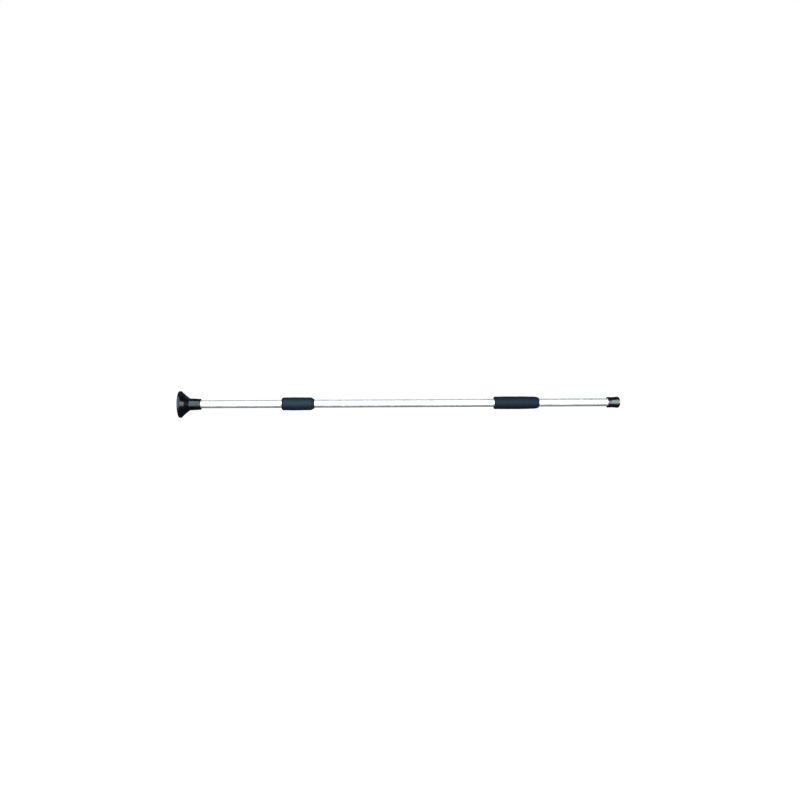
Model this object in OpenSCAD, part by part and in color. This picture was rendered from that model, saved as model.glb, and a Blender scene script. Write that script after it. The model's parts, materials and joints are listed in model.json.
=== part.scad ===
// Twist-lock cargo bar for a pickup bed.
// The bar lies along X. The origin is the centre of the wide foot's contact face.
// Left of the joint: the fixed section with the wide foot. Right of it: the sliding section.
// Millimetres.

/* [Bar] */
// Overall length with the bar closed
closed_len = 1405; // [1380:5:1600]
// Distance from the wide foot's face to the joint between the two tubes
joint_x = 525; // [510:1:545]
// How far the sliding section pulls out
travel = 360; // [200:5:380]
// Outside diameter of the two visible tubes
tube_od = 25.4; // [25:0.1:26.4]
// Wall of the two visible tubes
tube_wall = 1.4; // [1.35:0.01:1.45]
// Outside diameter of the hidden inner tube
inner_od = 20; // [19.6:0.1:20.2]
// Wall of the hidden inner tube
inner_wall = 1.5; // [1.2:0.1:1.6]

/* [Wide foot] */
// Diameter of the flared rim
wide_rim_d = 85.8; // [80:0.2:95]
// Length of the foot along the bar
wide_len = 69.5; // [66:0.5:80]
// Where the flare ends and the neck begins
wide_neck_x = 34; // [32:0.5:40]
// Neck diameter beside the flare
wide_neck_d = 38; // [37:0.2:42]
// Neck diameter near the mouth
wide_mouth_d = 36.2; // [34:0.2:38]
// Depth of the ring grooves in the contact faces
tread_depth = 2.5; // [1:0.5:3]

/* [Narrow foot] */
// Length of the foot along the bar
narrow_len = 38.5; // [36:0.5:45]
// Diameter of the flared lip behind the contact face
narrow_lip_d = 36.2; // [35:0.2:40]
// Diameter of the waist
narrow_waist_d = 33.3; // [32:0.1:34]
// Diameter at the mouth
narrow_mouth_d = 34.2; // [33:0.2:36]

/* [Grips] */
// Outside diameter of the short foam grip
short_grip_od = 42.3; // [39:0.1:46]
// Outside diameter of the long foam grip
long_grip_od = 41; // [39:0.1:46]
// Where the short grip begins
short_grip_x = 327; // [320:1:332]
// Length of the short grip
short_grip_len = 105; // [100:1:110]
// Where the long grip begins
long_grip_x = 1005; // [990:5:1040]
// Length of the long grip
long_grip_len = 143; // [120:1:170]

/* [Twist lock] */
// Offset of the eccentric journal from the bar's axis
ecc = 0.5; // [0.4:0.05:0.5]
// Free travel of the tension spring under a push on the bar
spring_travel = 20; // [10:1:24]
// Number of coils in the tension spring
spring_coils = 9; // [7:1:10]

/* [Hidden] */
$fn = 96;

// Clearances
fit = 0.02;         // a sleeve that grips what is inside it
slip = 0.1;         // a bush that slides on a tube
run = 0.05;         // a pin or ring that turns

// Radii
tube_r = tube_od / 2;
bore_r = tube_r - tube_wall;
inner_r = inner_od / 2;
inner_bore_r = inner_r - inner_wall;

// Feet
wide_base = 20;                              // rubber between the tube's washer and the bed wall
narrow_base = 8;
washer_t = 1.5;
plug_flange = 2;
plug_depth = 22;
rim_band = 7.6;                              // band round the flare's rim, up to its groove
fixed_tube_x = wide_base + washer_t + plug_flange;
sliding_end_x = closed_len - narrow_base - washer_t - plug_flange;
narrow_mouth_x = closed_len - narrow_len;

// Joint and guide bush
bush_flange = 1;
bush_x = joint_x + 0.2;
sliding_tube_x = bush_x + bush_flange + 0.1;
bush_end_x = bush_x + 34.3;
ridge_x = bush_x + 15;                       // snap ridge that holds the bush in its tube
ridge_w = 3;
ridge_h = 0.4;

// Inner tube, held in the fixed section by four flush rivets through the rear spacer
inner_x = joint_x - 175;
inner_end_x = bush_end_x + travel + 0.5;     // the guide plug's flange stops the bush here
rear_spacer_len = 73;
front_spacer_len = 29;
rivet_r = 2;
rivet_head_r = 3.2;
rivet_head_t = 1.2;
rivet_xs = [inner_x + 15, inner_x + 62];

// Guide plug, spring and lock
plug_body_len = 25;
guide_flange = 3;
guide_flange_r = inner_r + 0.9;
shank_w = 8;                                 // square shank, which turns with the plug
spring_x = inner_end_x + guide_flange;
spring_len = 50;
spring_r = 7.6;
wire_r = 1;
spindle_x = spring_x + spring_len;
spindle_flange = 3;
spindle_r = bore_r - 0.7;
journal_r = 6;
journal_len = 16;
journal_x = spindle_x + spindle_flange;
journal_end_x = journal_x + journal_len;
stop_pin_r = 2;
stop_pin_x = inner_end_x - plug_body_len - stop_pin_r - run;
lock_ring_r = bore_r - 0.73;                 // still 0.04 clear of the bore when the twist ends
lock_washer_t = 2;
lock_screw_r = 2.5;

// Points of an elliptical arc, as [radius, x] pairs for a turned profile.
// deep is its half-axis across the bar and long its half-axis along the bar.
function arc(cr, cx, deep, long, a0, a1, n = 8) =
    [for (i = [0 : n]) let (a = a0 + (a1 - a0) * i / n) [cr + deep * cos(a), cx + long * sin(a)]];

// Solid of revolution about the bar's axis from [radius, x] points
module turned(profile) {
    rotate([0, 90, 0]) rotate_extrude() polygon(profile);
}

// Hollow or solid cylinder along the bar from x0 to x1
module sleeve(x0, x1, r_out, r_in = 0) {
    turned([[r_in, x0], [r_out, x0], [r_out, x1], [r_in, x1]]);
}

// Sleeve whose outer edges are broken by a small chamfer
module chamfered_sleeve(x0, x1, r_out, r_in, c) {
    turned([
        [r_in, x0], [r_out - c, x0], [r_out, x0 + c],
        [r_out, x1 - c], [r_out - c, x1], [r_in, x1]
    ]);
}

// Child placed at each rivet, its axis along +Z at the bar's surface
module at_rivets() {
    for (i = [0 : 1], side = [0, 180])
        translate([rivet_xs[i], 0, 0]) rotate([90 * i + side, 0, 0]) children();
}

// Rivet or its hole: a shank through the three layers and a countersunk head
module rivet_body(grow) {
    translate([0, 0, inner_bore_r - 1.2])
        cylinder(h = tube_r - inner_bore_r + 1.4, r = rivet_r + grow);
    translate([0, 0, tube_r - rivet_head_t])
        cylinder(h = rivet_head_t + 0.2, r1 = rivet_r + grow, r2 = rivet_head_r + grow);
}

module fixed_tube() {
    color("gainsboro") difference() {
        chamfered_sleeve(fixed_tube_x, joint_x, tube_r, bore_r, 0.3);
        at_rivets() rivet_body(fit);
    }
}

// Foam sleeve with a slight barrel shape. Each end is [how much thinner the sleeve is beside
// its rounding, where that taper starts, depth of the rounding across the bar, its length].
module foam_grip(x0, x1, od, left, right) {
    r = od / 2;
    r0 = r - left[0];
    r1 = r - right[0];
    color("darkslategray") turned(concat(
        [[tube_r + fit, x0]],
        arc(r0 - left[2], x0 + left[3], left[2], left[3], -90, 0),
        [[r, x0 + left[1]], [r, x1 - right[1]]],
        arc(r1 - right[2], x1 - right[3], right[2], right[3], 0, 90),
        [[tube_r + fit, x1]]
    ));
}

module short_grip() {
    x = short_grip_x;
    foam_grip(x, x + short_grip_len, short_grip_od, [0.15, 25, 4.5, 6], [0.45, 65, 5.5, 11]);
}

module long_grip() {
    x = long_grip_x;
    foam_grip(x, x + long_grip_len, long_grip_od, [0.5, 30, 1.8, 3], [0.8, 50, 5.5, 20]);
}

// Flared rubber foot: ringed contact face, banded rim, cone and tapered neck
module wide_foot() {
    rim_r = wide_rim_d / 2;
    neck_r = wide_neck_d / 2;
    mouth_r = wide_mouth_d / 2;
    groove_rs = [[9, 13], [17, 21], [25, 29]];
    color([0.09, 0.10, 0.11]) difference() {
        turned(concat(
            arc(rim_r - 1.5, 1.5, 1.5, 1.5, -90, 0, 5),
            [
                [rim_r, rim_band - 1], [rim_r - 0.9, rim_band], [rim_r - 1.5, rim_band + 0.1],
                [rim_r - 1.9, rim_band + 0.7], [rim_r - 2.2, rim_band + 0.8],
                [neck_r + 1.1, wide_neck_x - 1.2], [neck_r + 0.3, wide_neck_x + 0.2],
                [neck_r, wide_neck_x + 2], [mouth_r + 0.4, wide_len - 11], [mouth_r, wide_len - 5]
            ],
            arc(mouth_r - 1.8, wide_len - 1.5, 1.5, 1.5, 0, 90, 4),
            [[tube_r + fit, wide_len], [tube_r + fit, wide_base], [0, wide_base], [0, 0]]
        ));
        for (g = groove_rs) sleeve(-1, tread_depth, g[1], g[0]);
    }
}

// Rubber ferrule: waisted body, flared lip, rounded nose and ringed contact face
module narrow_foot() {
    lip_r = narrow_lip_d / 2;
    waist_r = narrow_waist_d / 2;
    mouth_r = narrow_mouth_d / 2;
    end_x = closed_len;
    color([0.09, 0.10, 0.11]) difference() {
        turned(concat(
            [
                [0, end_x - narrow_base], [tube_r + fit, end_x - narrow_base],
                [tube_r + fit, narrow_mouth_x], [mouth_r - 0.5, narrow_mouth_x],
                [mouth_r, narrow_mouth_x + 0.5], [mouth_r - 0.1, narrow_mouth_x + 2],
                [waist_r + 0.1, narrow_mouth_x + 6], [waist_r, narrow_mouth_x + 10],
                [waist_r + 0.2, end_x - 20], [lip_r - 0.7, end_x - 11], [lip_r - 0.1, end_x - 7.4]
            ],
            arc(lip_r - 6, end_x - 5.5, 6, 4.9, 0, 75, 8),
            [[lip_r - 7, end_x], [0, end_x]]
        ));
        sleeve(end_x - tread_depth, end_x + 1, 8.5, 5);
    }
}

module wide_foot_washer() {
    color("silver") sleeve(wide_base, wide_base + washer_t, tube_r - 0.1);
}

module narrow_foot_washer() {
    x = closed_len - narrow_base - washer_t;
    color("silver") sleeve(x, x + washer_t, tube_r - 0.1);
}

// Hollow plug with a flange that closes a tube's end; side is 1 when the tube runs towards +X
module tube_plug(x, side) {
    color("dimgray") translate([x, 0, 0]) rotate([0, side > 0 ? 0 : 180, 0]) difference() {
        union() {
            sleeve(-plug_flange, 0, tube_r - 0.1);
            sleeve(-plug_flange, plug_depth, bore_r - run);
        }
        sleeve(0, plug_depth + 1, bore_r - 2.5);
    }
}

module fixed_tube_plug() {
    tube_plug(fixed_tube_x, 1);
}

module sliding_tube_plug() {
    tube_plug(sliding_end_x, -1);
}

module inner_tube() {
    color("lightgray") difference() {
        sleeve(inner_x, inner_end_x, inner_r, inner_bore_r);
        at_rivets() rivet_body(fit);
        at_guide_plug_pins() guide_plug_pin(fit);
    }
}

module rear_spacer() {
    color("ivory") difference() {
        sleeve(inner_x + 2, inner_x + 2 + rear_spacer_len, bore_r - fit, inner_r + fit);
        at_rivets() rivet_body(fit);
    }
}

module front_spacer() {
    color("ivory")
        sleeve(joint_x - 1 - front_spacer_len, joint_x - 1, bore_r - fit, inner_r + fit);
}

// Four blind rivets: flush countersunk head outside, set bulb inside the inner tube
module tube_rivets() {
    color("silver") at_rivets() {
        intersection() {
            rivet_body(0);
            rotate([0, 90, 0]) cylinder(h = 20, r = tube_r - fit, center = true);
        }
        translate([0, 0, inner_bore_r - 2.4]) cylinder(h = 1.8, r = 2.9);
    }
}

module at_guide_plug_pins() {
    for (side = [90, -90])
        translate([inner_end_x - plug_body_len / 2, 0, 0]) rotate([side, 0, 0]) children();
}

module guide_plug_pin(grow) {
    translate([0, 0, shank_w / 2 + 2.2])
        cylinder(h = inner_r - shank_w / 2 - 2.3 + grow, r = 1.5 + grow);
}

// Flanged plug in the end of the inner tube, with a square hole for the spindle's shank
module guide_plug() {
    x0 = inner_end_x - plug_body_len;
    hole = shank_w + 2 * slip;
    color("dimgray") difference() {
        union() {
            sleeve(x0, inner_end_x + guide_flange, inner_bore_r - run);
            sleeve(inner_end_x, inner_end_x + guide_flange, guide_flange_r);
        }
        translate([x0 - 1, -hole / 2, -hole / 2])
            cube([plug_body_len + guide_flange + 2, hole, hole]);
        at_guide_plug_pins() guide_plug_pin(fit);
    }
}

module guide_plug_pins() {
    color("silver") at_guide_plug_pins() guide_plug_pin(0);
}

// Helical compression spring, closed by one flat coil at each end
spring_steps = 20;
spring_sides = 8;
spring_dead = 1;                             // closed coils at each end

function spring_axial(t) =
    let (
        pitch_dead = 2 * wire_r * 1.02,
        live = spring_coils - 2 * spring_dead,
        pitch_live = (spring_len - 2 * wire_r - 2 * spring_dead * pitch_dead - 0.1) / live
    )
    t < spring_dead ? t * pitch_dead
    : t < spring_coils - spring_dead ? spring_dead * pitch_dead + (t - spring_dead) * pitch_live
    : spring_dead * pitch_dead + live * pitch_live + (t - spring_coils + spring_dead) * pitch_dead;

function spring_ring(t) =
    let (
        x = spring_x + wire_r + 0.05 + spring_axial(t),
        a = 360 * t
    )
    [for (s = [0 : spring_sides - 1])
        let (b = 360 * s / spring_sides, r = spring_r + wire_r * cos(b))
        [x + wire_r * sin(b), r * cos(a), r * sin(a)]];

module tension_spring() {
    n = spring_coils * spring_steps;
    rings = [for (i = [0 : n]) each spring_ring(i / spring_steps)];
    sides = [for (i = [0 : n - 1], s = [0 : spring_sides - 1])
        let (
            a = i * spring_sides + s,
            b = i * spring_sides + (s + 1) % spring_sides
        )
        [a, b, b + spring_sides, a + spring_sides]];
    first_cap = [for (s = [spring_sides - 1 : -1 : 0]) s];
    last_cap = [for (s = [0 : spring_sides - 1]) n * spring_sides + s];
    color("gray") polyhedron(rings, concat([first_cap], sides, [last_cap]), convexity = 10);
}

// Nylon bush snapped into the sliding tube's mouth; it slides on the inner tube
module guide_bush() {
    color("ivory") difference() {
        union() {
            sleeve(bush_x, bush_x + bush_flange, tube_r - 0.2);
            sleeve(bush_x, bush_end_x, bore_r - run);
            sleeve(ridge_x, ridge_x + ridge_w, bore_r + ridge_h);
        }
        sleeve(bush_x - 1, bush_end_x + 1, inner_r + slip);
    }
}

module sliding_tube() {
    color("gainsboro") difference() {
        chamfered_sleeve(sliding_tube_x, sliding_end_x, tube_r, bore_r, 0.3);
        sleeve(ridge_x - slip, ridge_x + ridge_w + slip, bore_r + ridge_h + slip);
    }
}

// Spindle: square shank through the guide plug, spring flange and eccentric journal
module lock_spindle() {
    shank_x = stop_pin_x - 7;
    color("dimgray") difference() {
        union() {
            translate([shank_x, -shank_w / 2, -shank_w / 2])
                cube([spindle_x - shank_x + 1, shank_w, shank_w]);
            sleeve(spindle_x, journal_x, spindle_r);
            translate([0, -ecc, 0]) sleeve(spindle_x + 1, journal_end_x, journal_r);
        }
        translate([stop_pin_x, 0, 0]) cylinder(h = 20, r = stop_pin_r + fit, center = true);
        sleeve(journal_x + 1, journal_end_x + 1, lock_screw_r + fit);
    }
}

module lock_stop_pin() {
    color("silver") translate([stop_pin_x, 0, 0])
        cylinder(h = 2 * inner_bore_r - 1.5, r = stop_pin_r, center = true);
}

module lock_washer() {
    x = journal_end_x + run;
    color("silver") sleeve(x, x + lock_washer_t, spindle_r - 1.2, lock_screw_r + 0.2);
}

// Pan-head screw with a cross recess
module lock_screw() {
    x = journal_end_x + run + lock_washer_t;
    color("silver") difference() {
        union() {
            sleeve(journal_x + 1.5, x, lock_screw_r);
            turned([[0, x], [4.6, x], [4.6, x + 1.4], [3.4, x + 2.8], [0, x + 3.2]]);
        }
        for (turn = [0, 90]) rotate([turn, 0, 0])
            translate([x + 1.6, -2.4, -0.5]) cube([3, 4.8, 1]);
    }
}

// Eccentric ring: concentric with the bar when free, it jams in the tube after a quarter turn
module lock_ring() {
    notches = 12;
    color("ivory") difference() {
        sleeve(journal_x + 0.15, journal_end_x - 0.15, lock_ring_r);
        translate([0, -ecc, 0]) sleeve(journal_x - 1, journal_end_x + 1, journal_r + run);
        for (i = [0 : notches - 1]) rotate([i * 360 / notches, 0, 0])
            translate([journal_x - 1, -0.6, lock_ring_r - 0.5])
                cube([journal_len + 2, 1.2, 2]);
    }
}

fixed_tube();
short_grip();
wide_foot();
wide_foot_washer();
fixed_tube_plug();
inner_tube();
rear_spacer();
front_spacer();
tube_rivets();
guide_plug();
guide_plug_pins();
tension_spring();
guide_bush();
sliding_tube();
long_grip();
narrow_foot();
narrow_foot_washer();
sliding_tube_plug();
lock_spindle();
lock_stop_pin();
lock_washer();
lock_screw();
lock_ring();
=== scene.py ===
import json
import math

import bmesh
import bpy
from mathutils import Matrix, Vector, noise

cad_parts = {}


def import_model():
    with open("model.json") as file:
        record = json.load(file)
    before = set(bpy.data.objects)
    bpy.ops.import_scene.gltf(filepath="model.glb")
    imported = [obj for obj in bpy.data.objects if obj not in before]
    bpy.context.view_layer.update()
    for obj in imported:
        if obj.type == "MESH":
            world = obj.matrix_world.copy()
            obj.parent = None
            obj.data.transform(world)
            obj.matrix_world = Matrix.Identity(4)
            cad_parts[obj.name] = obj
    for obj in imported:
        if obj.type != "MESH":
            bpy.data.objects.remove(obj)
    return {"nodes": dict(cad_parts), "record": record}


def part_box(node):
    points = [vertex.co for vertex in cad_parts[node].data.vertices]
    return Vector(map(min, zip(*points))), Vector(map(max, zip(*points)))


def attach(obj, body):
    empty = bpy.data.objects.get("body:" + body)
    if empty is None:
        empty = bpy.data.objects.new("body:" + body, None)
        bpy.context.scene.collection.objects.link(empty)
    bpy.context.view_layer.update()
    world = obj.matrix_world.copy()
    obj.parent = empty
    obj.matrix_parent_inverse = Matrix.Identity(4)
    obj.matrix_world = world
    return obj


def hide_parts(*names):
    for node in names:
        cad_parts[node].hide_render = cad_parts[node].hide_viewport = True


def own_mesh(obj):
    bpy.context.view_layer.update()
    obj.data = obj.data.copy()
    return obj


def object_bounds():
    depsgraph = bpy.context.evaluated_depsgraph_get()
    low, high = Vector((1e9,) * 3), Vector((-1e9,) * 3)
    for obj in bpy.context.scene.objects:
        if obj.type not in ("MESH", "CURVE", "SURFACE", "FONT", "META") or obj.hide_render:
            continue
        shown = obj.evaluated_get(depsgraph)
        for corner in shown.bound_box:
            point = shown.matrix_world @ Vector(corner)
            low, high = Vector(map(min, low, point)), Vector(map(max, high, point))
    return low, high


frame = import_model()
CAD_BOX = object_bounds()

MM = 0.001
NODES = frame["nodes"]

# ---------------------------------------------------------------- where the frame puts things
BAR_END = CAD_BOX[1].x
TUBE_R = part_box("sliding_tube")[1].z
TUBE_FIT = 0.02 * MM                 # how far a sleeve's bore stands off the tube
BORE_R = TUBE_R + TUBE_FIT
INNER_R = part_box("inner_tube")[1].z
TURN_STEPS = 192                     # facets round a turned piece
FACE_ROUGHNESS = 0.72                # of the rubber that bears on the bed wall


# ---------------------------------------------------------------- outlines and turned meshes
def fillet(before, corner, after, radius, steps):
    """Points of an arc that rounds the corner between its two neighbours."""
    p = Vector(corner)
    a = Vector(before) - p
    b = Vector(after) - p
    half = a.angle(b) / 2
    reach = min(radius / math.tan(half), 0.49 * a.length, 0.49 * b.length)
    r = reach * math.tan(half)
    centre = p + (a.normalized() + b.normalized()).normalized() * (r / math.sin(half))
    start = p + a.normalized() * reach - centre
    end = p + b.normalized() * reach - centre
    turn = start.angle_signed(end)
    points = []
    for i in range(steps + 1):
        t = -turn * i / steps
        x = start.x * math.cos(t) - start.y * math.sin(t)
        y = start.x * math.sin(t) + start.y * math.cos(t)
        points.append((centre.x + x, centre.y + y))
    return points


def rounded(corners, steps=6):
    """A closed outline of (x, radius) points in mm from corners (x, radius, rounding), as metres."""
    points = []
    for i, (x, r, rounding) in enumerate(corners):
        if rounding:
            points += fillet(corners[i - 1][:2], (x, r), corners[(i + 1) % len(corners)][:2], rounding, steps)
        else:
            points.append((x, r))
    return [(x * MM, r * MM) for x, r in points]


def oval(cx, cr, long, deep, start_deg, end_deg, flatness=1.0, steps=16):
    """Corners along a quarter oval round (cx, cr); flatness goes from 1, an ellipse, to 2, a chamfer."""
    corners = []
    for i in range(steps + 1):
        a = math.radians(start_deg + (end_deg - start_deg) * i / steps)
        across = abs(math.sin(a)) ** flatness
        up = abs(math.cos(a)) ** flatness
        corners.append((cx + long * math.copysign(across, math.sin(a)), cr + deep * up, 0))
    return corners


def finer(outline, step, from_r):
    """Splits the outline's long stretches outside from_r, so that its surface can be shaped."""
    points = []
    for i, (x, r) in enumerate(outline):
        points.append((x, r))
        nx, nr = outline[(i + 1) % len(outline)]
        if min(r, nr) > from_r:
            cuts = int(math.hypot(nx - x, nr - r) / step)
            for k in range(1, cuts + 1):
                points.append((x + (nx - x) * k / (cuts + 1), r + (nr - r) * k / (cuts + 1)))
    return points


def piece(name, mesh, body, material):
    """A mesh object that rides on a body and takes the material it is given."""
    obj = bpy.data.objects.new(name, mesh)
    bpy.context.scene.collection.objects.link(obj)
    mesh.materials.append(material)
    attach(obj, body)
    return obj


def turned(name, outline, steps=TURN_STEPS, sharp_deg=40):
    """The mesh of a closed outline turned round the bar's axis."""
    bm = bmesh.new()
    rings = []
    for x, r in outline:
        if r < 1e-6:
            rings.append([bm.verts.new((x, 0, 0))])
            continue
        angles = [2 * math.pi * k / steps for k in range(steps)]
        rings.append([bm.verts.new((x, r * math.cos(a), r * math.sin(a))) for a in angles])
    for i, ring in enumerate(rings):
        after = rings[(i + 1) % len(rings)]
        for k in range(steps):
            n = (k + 1) % steps
            if len(ring) == 1 and len(after) == 1:
                break
            if len(ring) == 1:
                bm.faces.new((ring[0], after[n], after[k]))
            elif len(after) == 1:
                bm.faces.new((ring[k], ring[n], after[0]))
            else:
                bm.faces.new((ring[k], ring[n], after[n], after[k]))
    bmesh.ops.recalc_face_normals(bm, faces=bm.faces)
    mesh = bpy.data.meshes.new(name)
    bm.to_mesh(mesh)
    bm.free()
    mesh.shade_smooth()
    mesh.set_sharp_from_angle(angle=math.radians(sharp_deg))
    return mesh


# ---------------------------------------------------------------- materials
class Shader:
    """A Principled material with short calls for the nodes behind its sockets."""

    def __init__(self, name, color, roughness, **sockets):
        self.material = bpy.data.materials.new(name)
        self.material.use_nodes = True
        self.tree = self.material.node_tree
        self.bsdf = self.tree.nodes["Principled BSDF"]
        self.bsdf.inputs["Base Color"].default_value = (*color, 1)
        self.bsdf.inputs["Roughness"].default_value = roughness
        for socket, value in sockets.items():
            self.bsdf.inputs[socket.replace("_", " ")].default_value = value

    def node(self, kind, **values):
        made = self.tree.nodes.new("ShaderNode" + kind)
        for key, value in values.items():
            if hasattr(made, key):
                setattr(made, key, value)
            else:
                made.inputs[key.replace("_", " ")].default_value = value
        return made

    def link(self, output, node, socket):
        self.tree.links.new(output, node.inputs[socket])

    def place(self, scale):
        """Object coordinates, scaled for each axis."""
        mapping = self.node("Mapping", Scale=scale)
        self.link(self.node("TexCoord").outputs["Object"], mapping, "Vector")
        return mapping.outputs["Vector"]

    def noise(self, scale, detail=3, stretch=(1, 1, 1), roughness=0.55):
        """Noise with a pitch of about 1 / scale metres, drawn out along an axis by stretch."""
        texture = self.node("TexNoise", Scale=scale, Detail=detail, Roughness=roughness)
        self.link(self.place(stretch), texture, "Vector")
        return texture.outputs["Fac"]

    def cells(self, scale, feature="F1"):
        texture = self.node("TexVoronoi", feature=feature, Scale=scale)
        self.link(self.place((1, 1, 1)), texture, "Vector")
        return texture.outputs["Distance"]

    def ramp(self, value, low, high, from_low=0.0, from_high=1.0):
        """A number mapped from one range to another, kept inside it."""
        mapped = self.node("MapRange", clamp=True)
        self.link(value, mapped, "Value")
        limits = {"From Min": from_low, "From Max": from_high, "To Min": low, "To Max": high}
        for socket, number in limits.items():
            mapped.inputs[socket].default_value = number
        return mapped.outputs["Result"]

    def mix(self, factor, first, second):
        """A colour between two, each a socket or three numbers."""
        mixed = self.node("Mix", data_type="RGBA")
        sockets = [s for s in mixed.inputs if s.type == "RGBA"]
        self.link(factor, mixed, "Factor")
        for socket, color in zip(sockets, (first, second)):
            if isinstance(color, tuple):
                socket.default_value = (*color, 1)
            else:
                self.tree.links.new(color, socket)
        return [s for s in mixed.outputs if s.type == "RGBA"][0]

    def color(self, output):
        self.link(output, self.bsdf, "Base Color")

    def roughness(self, output):
        self.link(output, self.bsdf, "Roughness")

    def along(self):
        """The distance along the bar, in metres."""
        split = self.node("SeparateXYZ")
        self.link(self.node("TexCoord").outputs["Object"], split, "Vector")
        return split.outputs["X"]

    def bump(self, height, depth, strength=1.0):
        """Relief of the given depth in metres, on top of any relief set before."""
        made = self.node("Bump", Distance=depth, Strength=strength)
        self.link(height, made, "Height")
        normal = self.bsdf.inputs["Normal"]
        if normal.links:
            self.tree.links.new(normal.links[0].from_socket, made.inputs["Normal"])
        self.tree.links.new(made.outputs["Normal"], normal)


def drawn_aluminium(name, bright, dull, rough):
    """Tube drawn through a die: hair lines along the bar, faint handling marks across it."""
    s = Shader(name, bright, rough, Metallic=1.0)
    lines = s.noise(1, 2, (9, 2600, 2600))
    bands = s.noise(1, 2, (1.5, 420, 420))
    marks = s.noise(38, 4, (1, 1.6, 1.6), 0.7)
    s.color(s.mix(s.ramp(bands, 0, 1, 0.35, 0.7), bright, dull))
    s.roughness(s.ramp(marks, rough - 0.05, rough + 0.09, 0.3, 0.75))
    s.bump(lines, 0.012 * MM)
    s.bump(bands, 0.01 * MM)
    return s.material


def foam(name, skin):
    """Closed-cell foam rubber: fine cells with painted shade in them, soft unevenness and a skin that shines
    a little.
    """
    s = Shader(name, (0.008, 0.014, 0.02), 0.55, Specular_IOR_Level=skin)
    s.bsdf.inputs["Specular Tint"].default_value = (0.4, 0.7, 1.0, 1)
    patches = s.noise(55, 4)
    grain = s.noise(1700, 3)
    pores_and_shade = s.cells(1500)
    worn = s.mix(s.ramp(patches, 0, 1, 0.38, 0.68), (0.0056, 0.0094, 0.0134), (0.0068, 0.0112, 0.0158))
    # The cell centres get a darker colour: painted shade inside the pores, on top of their real relief.
    s.color(s.mix(s.ramp(pores_and_shade, 0, 1, 0.1, 0.45), (0.0036, 0.006, 0.0086), worn))
    s.roughness(s.ramp(grain, 0.46, 0.56, 0.3, 0.7))
    s.bump(grain, 0.05 * MM)
    s.bump(pores_and_shade, 0.07 * MM)
    return s.material


def rubber(name, face_x, worn_depth, gloss, specular, tint):
    """Moulded rubber with a fine tool grain, scuffed pale where it bears on the bed wall."""
    s = Shader(name, (0.002, 0.0026, 0.0032), gloss, Specular_IOR_Level=specular)
    s.bsdf.inputs["Specular Tint"].default_value = (*tint, 1)
    bloom = s.noise(70, 5, roughness=0.65)
    grain = s.noise(2400, 2)
    scuffs = s.noise(1, 4, (260, 900, 260), 0.7)
    near_face = s.ramp(s.along(), 1, 0, face_x, face_x + worn_depth)
    scuffed = s.node("Math", operation="MULTIPLY")
    s.link(s.ramp(scuffs, 0, 1, 0.45, 0.7), scuffed, 0)
    s.link(near_face, scuffed, 1)
    clean = s.mix(s.ramp(bloom, 0, 1, 0.4, 0.75), (0.0010, 0.0014, 0.0018), (0.0024, 0.003, 0.0036))
    s.color(s.mix(scuffed.outputs["Value"], clean, (0.016, 0.0165, 0.017)))
    matte = s.node("Math", operation="MAXIMUM")
    s.link(s.ramp(bloom, gloss - 0.04, gloss + 0.08, 0.35, 0.75), matte, 0)
    s.link(s.ramp(s.along(), FACE_ROUGHNESS, 0, face_x, face_x + 0.15 * worn_depth), matte, 1)
    s.roughness(matte.outputs["Value"])
    s.bump(grain, 0.008 * MM)
    s.bump(bloom, 0.05 * MM)
    return s.material


def moulded_plastic(name, color, shade, rough, grain_depth):
    """Moulded plastic with a fine grain and slight flow marks."""
    s = Shader(name, color, rough)
    flow = s.noise(1, 3, (60, 240, 240))
    grain = s.noise(3200, 2)
    s.color(s.mix(s.ramp(flow, 0, 1, 0.35, 0.7), color, shade))
    s.roughness(s.ramp(flow, rough - 0.07, rough + 0.07, 0.3, 0.7))
    s.bump(grain, grain_depth)
    return s.material


def plated_steel(name, color, shade, rough):
    """Zinc-plated steel: a cloudy plate with fine turning lines."""
    s = Shader(name, color, rough, Metallic=1.0)
    cloud = s.noise(240, 4, roughness=0.7)
    lines = s.noise(1, 2, (5200, 500, 500))
    s.color(s.mix(s.ramp(cloud, 0, 1, 0.35, 0.7), color, shade))
    s.roughness(s.ramp(cloud, rough - 0.08, rough + 0.12, 0.3, 0.7))
    s.bump(lines, 0.006 * MM)
    return s.material


LOOKS = {
    "tube_aluminium": drawn_aluminium("drawn_aluminium", (0.90, 0.925, 0.93), (0.85, 0.875, 0.88), 0.53),
    "inner_aluminium": drawn_aluminium("mill_aluminium", (0.74, 0.75, 0.76), (0.62, 0.63, 0.64), 0.34),
    "grip_foam": foam("grip_foam", 0.14),
    "nylon": moulded_plastic("nylon", (0.78, 0.76, 0.69), (0.70, 0.67, 0.59), 0.42, 0.01 * MM),
    "black_plastic": moulded_plastic(
        "black_plastic", (0.018, 0.018, 0.02), (0.03, 0.03, 0.032), 0.5, 0.02 * MM),
    "steel": plated_steel("plated_steel", (0.62, 0.62, 0.60), (0.48, 0.47, 0.44), 0.32),
}
SHORT_FOAM = foam("short_grip_foam", 0.24)
WIDE_RUBBER = rubber("foot_rubber", 0.0, 9 * MM, 0.19, 0.42, (0.62, 0.84, 1.0))
NARROW_RUBBER = rubber("ferrule_rubber", BAR_END, -4 * MM, 0.16, 1.0, (0.8, 0.95, 1.0))


def finish_cad_nodes():
    """Gives each CAD node whose slot has a look here the procedural material of that slot."""
    for part in frame["record"]["subparts"]:
        if part["material_slot"] in LOOKS:
            NODES[part["node"]].material_slots[0].material = LOOKS[part["material_slot"]]


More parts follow.
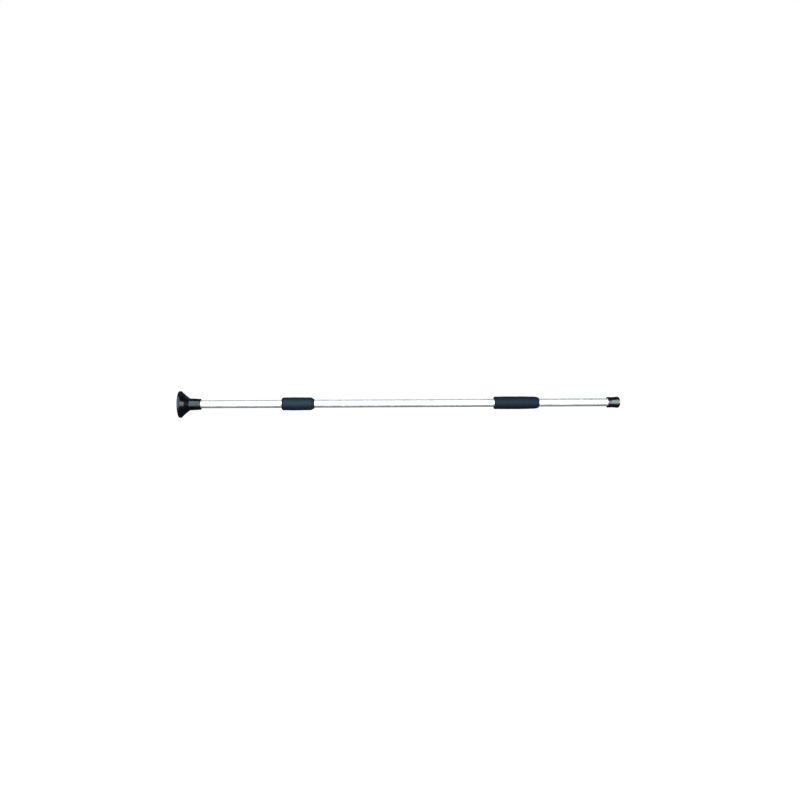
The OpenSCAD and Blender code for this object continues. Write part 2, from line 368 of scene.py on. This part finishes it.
# ---------------------------------------------------------------- pieces that replace plain CAD solids
def wide_foot():
    """Flared rubber foot with a banded rim, ringed contact face and a neck that grips the tube."""
    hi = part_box("wide_foot")[1]
    rim, length = hi.z / MM, hi.x / MM
    bore = BORE_R / MM
    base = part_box("wide_foot_washer")[0].x / MM
    corners = [(0, 0, 0), (0, 9, 0.6), (2.5, 9, 0.6), (2.5, 13, 0.6), (0, 13, 0.6)]
    corners += [(0, 17, 0.6), (2.5, 17, 0.6), (2.5, 21, 0.6), (0, 21, 0.6)]
    corners += [(0, 25, 0.6), (2.5, 25, 0.6), (2.5, 29, 0.6), (0, 29, 0.6)]
    corners += [
        (0, rim, 1.8), (6.7, rim, 0.7), (7.9, rim - 2.2, 0.5), (8.8, rim - 2.4, 0.9),
        (20, 30.1, 60), (33.6, 19.5, 6), (length - 12, 18.3, 20), (length, 17.7, 1.9),
        (length, bore + 0.6, 0.5), (length - 1.2, bore, 0.6), (base, bore, 0), (base, 0, 0),
    ]
    mesh = turned("wide_foot_rubber", finer(rounded(corners), 1.5 * MM, 14 * MM))
    foot = piece("wide_foot_rubber", mesh, "fixed_section", WIDE_RUBBER)
    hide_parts("wide_foot")


def narrow_foot():
    """Rubber ferrule with a waist, a flared lip and a rounded nose."""
    lo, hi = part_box("narrow_foot")
    start, end = lo.x / MM, hi.x / MM
    bore = BORE_R / MM
    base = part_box("narrow_foot_washer")[1].x / MM
    corners = [
        (base, 0, 0), (base, bore, 0), (start + 1.2, bore, 0.6), (start, bore + 0.6, 0.5),
        (start, 17.2, 0.9), (start + 10, 16.6, 14), (end - 18, 16.8, 30), (end - 6, 18.25, 3),
        (end - 1.6, 16.2, 4), (end, 11.8, 3.5), (end, 8.5, 0.5), (end - 2.5, 8.5, 0.5),
        (end - 2.5, 5, 0.5), (end, 5, 0.5), (end, 0, 0),
    ]
    mesh = turned("narrow_foot_rubber", finer(rounded(corners, 8), 1.5 * MM, 14 * MM))
    foot = piece("narrow_foot_rubber", mesh, "sliding_section", NARROW_RUBBER)
    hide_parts("narrow_foot")


def shape_foam(mesh, depth):
    """Gives a foam sleeve its soft unevenness; the bore on the tube stays true."""
    free_r = BORE_R + 1.2 * MM
    for v in mesh.vertices:
        r = math.hypot(v.co.y, v.co.z)
        if r <= free_r:
            continue
        ease = min(1.0, (r - free_r) / (4 * MM))
        swell = noise.noise(v.co * 45) + 0.55 * noise.noise(v.co * 160) + 0.3 * noise.noise(v.co * 520)
        k = 1 + ease * depth * (swell - 0.4) / r
        v.co.y *= k
        v.co.z *= k
        v.co.x += ease * depth * 0.5 * noise.noise(v.co * 210)


def foam_grip(node, body, look, left, right):
    """Foam sleeve over a CAD grip. Each end is (how much thinner the sleeve is beside its rounding,
    where that taper starts, depth of the rounding across the bar, its length, its flatness)."""
    lo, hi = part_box(node)
    x0, x1, r, bore = lo.x / MM, hi.x / MM, hi.z / MM, BORE_R / MM
    corners = [(x0 + 1.2, bore, 0.6), (x0, bore + 1, 0.6)]
    corners += oval(x0 + left[3], r - left[0] - left[2], left[3], left[2], -90, 0, left[4])
    corners += [(x0 + left[1], r, 600), (x1 - right[1], r, 600)]
    corners += oval(x1 - right[3], r - right[0] - right[2], right[3], right[2], 0, 90, right[4])
    corners += [(x1, bore + 1, 0.6), (x1 - 1.2, bore, 0.6)]
    mesh = turned(node + "_foam", finer(rounded(corners, 8), 0.9 * MM, BORE_R + 1 * MM))
    shape_foam(mesh, 0.22 * MM)
    grip = piece(node + "_foam", mesh, body, look)
    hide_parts(node)


def guide_bush():
    """Turned-looking nylon bush: rounded flange at the joint, snap ridge and a lead-in at its far end."""
    lo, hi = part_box("guide_bush")
    x0, x1 = lo.x / MM, hi.x / MM
    bore = INNER_R / MM + 0.1
    flange = hi.z / MM
    barrel = flange - 1.25
    ridge = x0 + 15
    corners = [
        (x0, bore, 0.15), (x0, flange, 0.3), (x0 + 1, flange, 0.3), (x0 + 1, barrel, 0),
        (ridge, barrel, 0), (ridge, barrel + 0.45, 0.1), (ridge + 3, barrel + 0.45, 0.1),
        (ridge + 3, barrel, 0), (x1, barrel, 0.8), (x1, bore, 0.3),
    ]
    mesh = turned("guide_bush_nylon", rounded(corners))
    bush = piece("guide_bush_nylon", mesh, "bush", LOOKS["nylon"])
    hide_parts("guide_bush")


def tension_spring():
    """Round-wire spring with closed ends."""
    lo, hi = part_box("tension_spring")
    wire = 1 * MM
    coils, dead, sides, steps = 9, 1, 16, 48
    r = hi.y - wire
    first, last = lo.x + wire, hi.x - wire
    closed = 2.04 * wire
    pitch = (last - first - 2 * dead * closed) / (coils - 2 * dead)
    bm = bmesh.new()
    rings = []
    for i in range(coils * steps + 1):
        t = i / steps
        live = min(max(t - dead, 0), coils - 2 * dead)
        x = first + (t - live) * closed + live * pitch
        a = 2 * math.pi * t
        ring = []
        for k in range(sides):
            b = 2 * math.pi * k / sides
            out = r + wire * math.cos(b)
            ring.append(bm.verts.new((x + wire * math.sin(b), out * math.cos(a), out * math.sin(a))))
        rings.append(ring)
    for ring, after in zip(rings, rings[1:]):
        for k in range(sides):
            n = (k + 1) % sides
            bm.faces.new((ring[k], ring[n], after[n], after[k]))
    bm.faces.new(rings[0])
    bm.faces.new(rings[-1])
    bmesh.ops.recalc_face_normals(bm, faces=bm.faces)
    mesh = bpy.data.meshes.new("tension_spring_wire")
    bm.to_mesh(mesh)
    bm.free()
    mesh.shade_smooth()
    mesh.set_sharp_from_angle(angle=math.radians(50))
    spring = piece("tension_spring_wire", mesh, "fixed_section", LOOKS["steel"])
    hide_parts("tension_spring")
    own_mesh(spring)


# ---------------------------------------------------------------- stage, light and camera
FLOOR_DROP = 2.3                      # the bar is held up, well clear of the floor
LIGHT_TINT = (0.93, 1.0, 1.03)


def floor():
    """Wide pale floor, far enough below that no shadow reaches the picture."""
    mesh = bpy.data.meshes.new("floor")
    half = 40.0
    z = -FLOOR_DROP
    corners = [(-half, -half, z), (half, -half, z), (half, half, z), (-half, half, z)]
    mesh.from_pydata(corners, [], [(0, 1, 2, 3)])
    s = Shader("pale_floor", (0.8, 0.8, 0.8), 0.9, Specular_IOR_Level=0.0)
    s.color(s.mix(s.ramp(s.noise(0.8, 2), 0, 1, 0.3, 0.7), (0.78, 0.78, 0.78), (0.82, 0.82, 0.82)))
    s.bsdf.inputs["Emission Color"].default_value = (1, 1, 1, 1)
    s.bsdf.inputs["Emission Strength"].default_value = 1.0
    mesh.materials.append(s.material)
    obj = bpy.data.objects.new("floor", mesh)
    bpy.context.scene.collection.objects.link(obj)
    obj.visible_glossy = False
    obj.visible_diffuse = False
    obj.visible_shadow = False


def world():
    """White behind the bar, dim all round it, so that the soft boxes make the shading."""
    made = bpy.data.worlds.new("studio")
    bpy.context.scene.world = made
    made.use_nodes = True
    tree = made.node_tree
    back = tree.nodes["Background"]
    path = tree.nodes.new("ShaderNodeLightPath")
    level = tree.nodes.new("ShaderNodeMapRange")
    level.inputs["To Min"].default_value = 0.05
    level.inputs["To Max"].default_value = 1.0
    tree.links.new(path.outputs["Is Camera Ray"], level.inputs["Value"])
    tree.links.new(level.outputs["Result"], back.inputs["Strength"])
    back.inputs["Color"].default_value = (1, 1, 1, 1)


def soft_box(name, place, aim, width, height, radiance, color=(1, 1, 1)):
    """A rectangular soft light of an even radiance, which the camera doesn't see."""
    lamp = bpy.data.lights.new(name, "AREA")
    lamp.shape = "RECTANGLE"
    lamp.size, lamp.size_y = width, height
    lamp.energy = radiance * width * height * math.pi
    lamp.color = color
    obj = bpy.data.objects.new(name, lamp)
    obj.location = place
    obj.rotation_mode = "QUATERNION"
    obj.rotation_quaternion = (Vector(place) - Vector(aim)).to_track_quat("Z", "Y")
    obj.visible_camera = False
    bpy.context.scene.collection.objects.link(obj)


def lights():
    """Boxes as (name, centre, aim, width, height, radiance, tint), from the middle of the bar."""
    middle = Vector((BAR_END / 2, 0, 0))
    boxes = (
        ("front_box", (0.0, -3.2, 1.475), (0.0, 0, 1.475), 4.6, 5.45, 5.0, LIGHT_TINT),
        ("upper_box", (-1.25, -1.95, 3.35), (-0.65, 0, 0), 2.4, 1.3, 5.0, LIGHT_TINT),
        ("low_box", (0.0, -3.2, -2.15), (0.0, 0, -2.15), 4.6, 1.8, 0.8, LIGHT_TINT),
        ("right_box", (3.14, -0.7, 0.35), (-0.7, 0, 0), 1.3, 1.6, 9.0, (1.06, 1.04, 1.0)),
        ("top_box", (0.1, 0.9, 2.2), (0.1, 0, 0), 1.8, 1.8, 0.4, LIGHT_TINT),
        ("back_left_box", (-2.0, 2.9, 0.5), (0, 0, 0), 1.8, 1.6, 1.5, LIGHT_TINT),
        ("back_right_box", (3.0, 2.4, 0.5), (0, 0, 0), 1.6, 1.6, 1.5, LIGHT_TINT),
    )
    for name, place, aim, width, height, radiance, tint in boxes:
        soft_box(name, middle + Vector(place), middle + Vector(aim), width, height, radiance, tint)


def camera():
    """Square on to the bar and a little above it."""
    lens, distance = 35.1, 2.492
    raised, roll = math.radians(4.2), math.radians(0.29)
    data = bpy.data.cameras.new("camera")
    data.lens = lens
    data.sensor_width = 36
    data.shift_x = 0.05
    data.clip_end = 100
    obj = bpy.data.objects.new("camera", data)
    aim = Vector((0.5781, 0, 0.0113))
    obj.location = aim + distance * Vector((0, -math.cos(raised), math.sin(raised)))
    obj.rotation_euler = (math.radians(90) - raised, roll, 0)
    bpy.context.scene.collection.objects.link(obj)
    bpy.context.scene.camera = obj


bpy.context.scene.view_settings.view_transform = "Standard"
finish_cad_nodes()
wide_foot()
narrow_foot()
foam_grip("short_grip", "fixed_section", SHORT_FOAM, (0.35, 25, 6, 8, 1), (0.45, 65, 7.4, 12, 1.6))
foam_grip("long_grip", "sliding_section", LOOKS["grip_foam"], (0.3, 30, 2, 3.4, 1), (0.8, 50, 5.5, 20, 1))
guide_bush()
tension_spring()
floor()
world()
lights()
camera()
